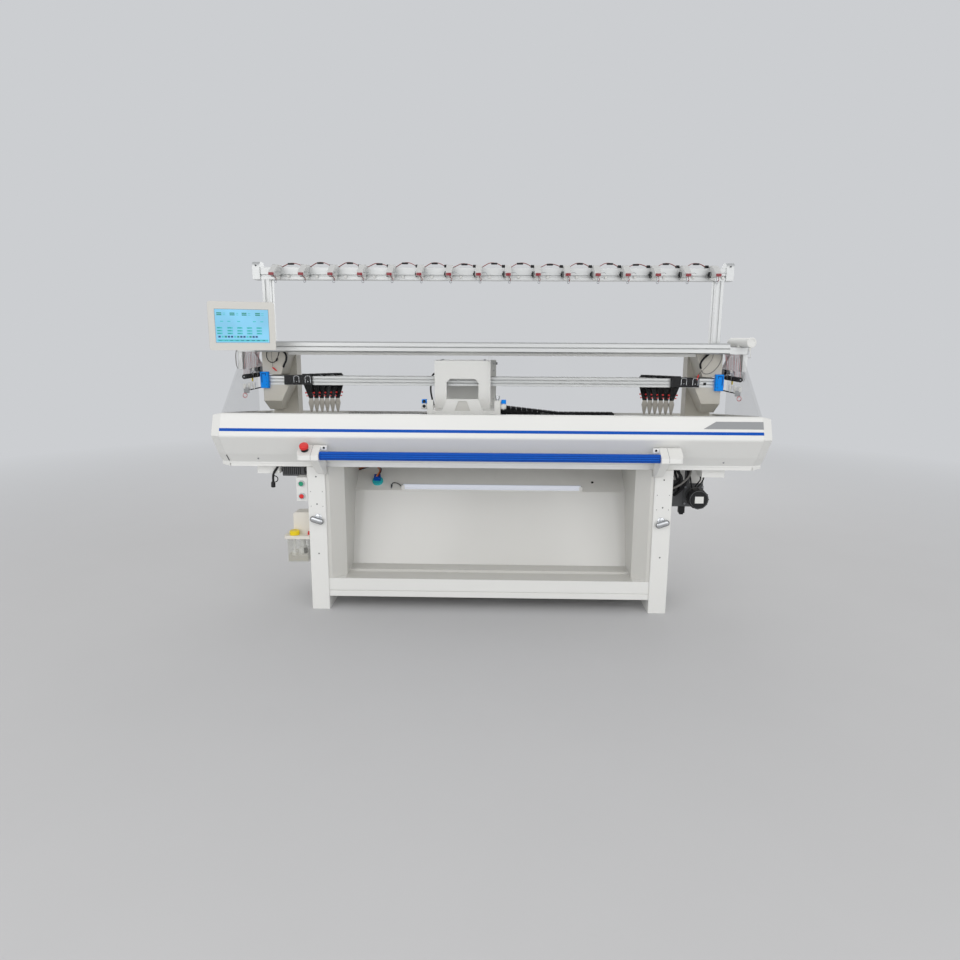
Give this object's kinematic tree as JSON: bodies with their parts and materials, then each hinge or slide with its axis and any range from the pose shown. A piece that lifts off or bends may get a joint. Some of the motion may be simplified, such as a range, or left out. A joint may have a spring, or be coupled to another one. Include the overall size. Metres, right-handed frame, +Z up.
{
  "type": "flat knitting machine",
  "caption": "Computerised flat knitting machine on two legs: sliding cam carriage and yarn feeders over a V of needle beds, clear guard doors, yarn table, tension bar and swivel monitor.",
  "frame": {"origin": "on the floor, midway between the legs and within 10 mm of the middle of the bounding box", "axes": "+X to the right along the needle beds as seen from the operator, +Y to the back, +Z up"},
  "size_m": [2.459, 0.7905, 1.608],
  "materials": {
    "white_enamel": "smooth white enamel on sheet steel",
    "grey_enamel": "light grey enamel on folded sheet",
    "beige_casting": "fine-textured warm grey paint",
    "blue_enamel": "blue enamel",
    "machined_steel": "ground and slotted steel",
    "anodised": "drawn and clear-anodised extrusion",
    "clear_guard": "clear acrylic sheet",
    "dark_casting": "dark grey painted casting",
    "black_plastic": "matt black moulding",
    "grey_plastic": "grey moulding",
    "white_plastic": "white moulding with a fine grain",
    "red_plastic": "gloss red moulding",
    "green_plastic": "gloss green moulding",
    "yellow_plastic": "yellow moulding",
    "oil_tank": "translucent tank",
    "screen": "lit display behind flat glass",
    "lamp_tube": "frosted diffuser",
    "rubber": "rubber-covered roller"
  },
  "bodies": {
    "frame": {"left_leg": "white_enamel", "right_leg": "white_enamel", "lower_beams": "white_enamel", "bin_liner": "grey_enamel", "bin_back_panel": "grey_enamel", "bin_upper_panel": "grey_enamel", "bin_lamp": "lamp_tube", "control_cabinet": "white_enamel", "bed_beam": "white_enamel", "front_needle_bed": "machined_steel", "front_cover": "white_enamel", "rear_cover": "white_enamel", "end_caps": "white_plastic", "bar_brackets": "white_plastic", "switch_box": "white_plastic", "oiler_head": "grey_plastic", "oiler_tank": "oil_tank", "towers": "beige_casting", "side_shields": "clear_guard", "table_beam": "anodised", "yarn_table": "white_enamel", "posts": "anodised", "top_beam": "anodised", "tension_units": "grey_plastic", "side_tensioners": "dark_casting", "feeder_rails": "anodised", "rail_end_stops": "blue_enamel", "drag_chain": "black_plastic", "takedown_motor": "dark_casting", "racking_motor": "dark_casting", "monitor_arm": "white_enamel", "signal_lamp": "white_plastic"},
    "carriage": {"carriage_bridge": "white_enamel", "cam_boxes": "white_enamel"},
    "rear_bed": {"rear_needle_bed": "machined_steel"},
    "stop_bar": {"stop_bar": "blue_enamel"},
    "emergency_button": {"emergency_button": "red_plastic"},
    "start_button": {"start_button": "green_plastic"},
    "stop_button": {"stop_button": "red_plastic"},
    "left_latch": {"left_latch": "dark_casting"},
    "right_latch": {"right_latch": "dark_casting"},
    "oiler_cap": {"oiler_cap": "yellow_plastic"},
    "left_guard_door": {"left_guard_door": "clear_guard"},
    "right_guard_door": {"right_guard_door": "clear_guard"},
    "takedown_roller": {"takedown_roller": "rubber"},
    "pressing_roller": {"pressing_roller": "rubber"},
    "monitor": {"monitor_housing": "white_plastic", "monitor_screen": "screen"},
    "left_feeder_1": {"left_feeder_1": "machined_steel"},
    "left_feeder_2": {"left_feeder_2": "machined_steel"},
    "left_feeder_3": {"left_feeder_3": "machined_steel"},
    "left_feeder_4": {"left_feeder_4": "machined_steel"},
    "left_feeder_5": {"left_feeder_5": "machined_steel"},
    "left_feeder_6": {"left_feeder_6": "machined_steel"},
    "right_feeder_1": {"right_feeder_1": "machined_steel"},
    "right_feeder_2": {"right_feeder_2": "machined_steel"},
    "right_feeder_3": {"right_feeder_3": "machined_steel"},
    "right_feeder_4": {"right_feeder_4": "machined_steel"},
    "right_feeder_5": {"right_feeder_5": "machined_steel"},
    "right_feeder_6": {"right_feeder_6": "machined_steel"}
  },
  "joints": [
    {"name": "carriage_slide", "type": "slide", "parent": "frame", "child": "carriage", "axis": [1, 0, 0], "range_m": [-0.62, 0.86], "deforming": ["drag_chain"]},
    {"name": "left_feeder_1_slide", "type": "slide", "parent": "frame", "child": "left_feeder_1", "axis": [1, 0, 0], "range_m": [-0.06, 0.72]},
    {"name": "left_feeder_2_slide", "type": "slide", "parent": "frame", "child": "left_feeder_2", "axis": [1, 0, 0], "range_m": [-0.06, 0.72]},
    {"name": "left_feeder_3_slide", "type": "slide", "parent": "frame", "child": "left_feeder_3", "axis": [1, 0, 0], "range_m": [-0.06, 0.72]},
    {"name": "left_feeder_4_slide", "type": "slide", "parent": "frame", "child": "left_feeder_4", "axis": [1, 0, 0], "range_m": [-0.06, 0.72]},
    {"name": "left_feeder_5_slide", "type": "slide", "parent": "frame", "child": "left_feeder_5", "axis": [1, 0, 0], "range_m": [-0.06, 0.72]},
    {"name": "left_feeder_6_slide", "type": "slide", "parent": "frame", "child": "left_feeder_6", "axis": [1, 0, 0], "range_m": [-0.06, 0.72]},
    {"name": "right_feeder_1_slide", "type": "slide", "parent": "frame", "child": "right_feeder_1", "axis": [1, 0, 0], "range_m": [-0.72, 0.06]},
    {"name": "right_feeder_2_slide", "type": "slide", "parent": "frame", "child": "right_feeder_2", "axis": [1, 0, 0], "range_m": [-0.72, 0.06]},
    {"name": "right_feeder_3_slide", "type": "slide", "parent": "frame", "child": "right_feeder_3", "axis": [1, 0, 0], "range_m": [-0.72, 0.06]},
    {"name": "right_feeder_4_slide", "type": "slide", "parent": "frame", "child": "right_feeder_4", "axis": [1, 0, 0], "range_m": [-0.72, 0.06]},
    {"name": "right_feeder_5_slide", "type": "slide", "parent": "frame", "child": "right_feeder_5", "axis": [1, 0, 0], "range_m": [-0.72, 0.06]},
    {"name": "right_feeder_6_slide", "type": "slide", "parent": "frame", "child": "right_feeder_6", "axis": [1, 0, 0], "range_m": [-0.72, 0.06]},
    {"name": "rear_bed_racking", "type": "slide", "parent": "frame", "child": "rear_bed", "axis": [1, 0, 0], "range_m": [-0.025, 0.025]},
    {"name": "stop_bar_turn", "type": "hinge", "parent": "frame", "child": "stop_bar", "pos_m": [0, -0.365, 0.752], "axis": [1, 0, 0], "range_deg": [-12, 12], "stiffness_Nm_per_rad": 6},
    {"name": "emergency_press", "type": "slide", "parent": "frame", "child": "emergency_button", "axis": [0, 0.5287, -0.8488], "range_m": [0, 0.005], "stiffness_N_per_m": 2500},
    {"name": "start_press", "type": "slide", "parent": "frame", "child": "start_button", "axis": [0, 1, 0], "range_m": [0, 0.004], "stiffness_N_per_m": 900},
    {"name": "stop_press", "type": "slide", "parent": "frame", "child": "stop_button", "axis": [0, 1, 0], "range_m": [0, 0.004], "stiffness_N_per_m": 900},
    {"name": "left_latch_turn", "type": "hinge", "parent": "frame", "child": "left_latch", "pos_m": [-0.7885, -0.25, 0.435], "axis": [0, 1, 0], "range_deg": [-90, 0]},
    {"name": "right_latch_turn", "type": "hinge", "parent": "frame", "child": "right_latch", "pos_m": [0.7885, -0.25, 0.435], "axis": [0, 1, 0], "range_deg": [0, 90]},
    {"name": "left_guard_slide", "type": "slide", "parent": "frame", "child": "left_guard_door", "axis": [1, 0, 0], "range_m": [0, 1.15]},
    {"name": "right_guard_slide", "type": "slide", "parent": "frame", "child": "right_guard_door", "axis": [1, 0, 0], "range_m": [-1.15, 0]},
    {"name": "takedown_spin", "type": "hinge", "parent": "frame", "child": "takedown_roller", "pos_m": [0, 0.0667, 0.6617], "axis": [1, 0, 0], "continuous": true},
    {"name": "pressing_spin", "type": "hinge", "parent": "frame", "child": "pressing_roller", "pos_m": [0, 0.1033, 0.6617], "axis": [1, 0, 0], "continuous": true},
    {"name": "monitor_swivel", "type": "hinge", "parent": "frame", "child": "monitor", "pos_m": [-1.11924, -0.16528, 1.25], "axis": [0, 0, 1], "range_deg": [-25, 25]},
    {"name": "oiler_cap_turn", "type": "hinge", "parent": "frame", "child": "oiler_cap", "pos_m": [-0.905, -0.226, 0.36], "axis": [0, 0, 1], "range_deg": [0, 90]}
  ],
  "couplings": [
    {"joint": "pressing_spin", "follows": "takedown_spin", "ratio": -1}
  ]
}
